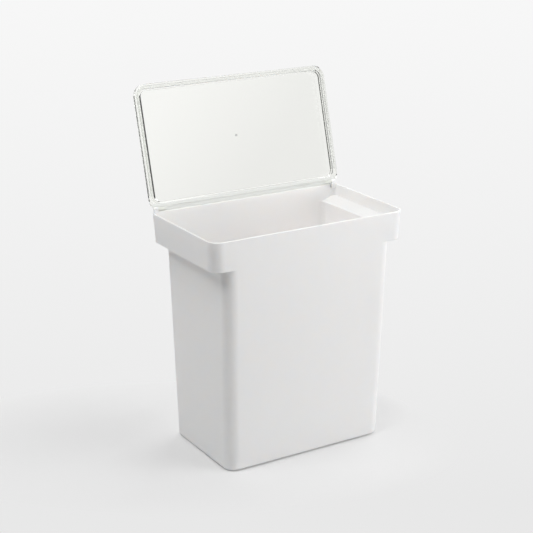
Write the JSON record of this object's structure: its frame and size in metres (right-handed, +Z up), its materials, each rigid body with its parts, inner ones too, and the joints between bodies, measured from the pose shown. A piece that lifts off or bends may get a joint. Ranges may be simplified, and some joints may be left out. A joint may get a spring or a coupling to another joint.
{
  "type": "lidded bin",
  "caption": "Free-standing tapered bin with finger grips under its flared rim and a clear raised lid that swings open on a hinge at the back.",
  "frame": {"origin": "on the floor, under the middle of the rim's outline", "axes": "+X to the right seen from the front, +Y to the back where the hinge is, +Z up"},
  "size_m": [0.3224, 0.2346, 0.5278],
  "materials": {
    "tub_white": "satin moulded white plastic",
    "lid_clear": "clear glossy plastic",
    "gasket_silicone": "translucent silicone",
    "bush_plastic": "plain acetal",
    "pin_steel": "ground steel",
    "foot_rubber": "soft pale rubber"
  },
  "bodies": {
    "bin": {"tub": "tub_white", "hinge_pin_left": "pin_steel", "hinge_pin_right": "pin_steel", "foot_front_left": "foot_rubber", "foot_front_right": "foot_rubber", "foot_rear_left": "foot_rubber", "foot_rear_right": "foot_rubber"},
    "lid": {"lid_panel": "lid_clear", "lid_gasket": "gasket_silicone", "hinge_bush_left": "bush_plastic", "hinge_bush_right": "bush_plastic"}
  },
  "joints": [
    {"name": "lid_hinge", "type": "hinge", "parent": "bin", "child": "lid", "pos_m": [0, 0.0869, 0.3538], "axis": [1, 0, 0], "range_deg": [0, 105.5]}
  ]
}
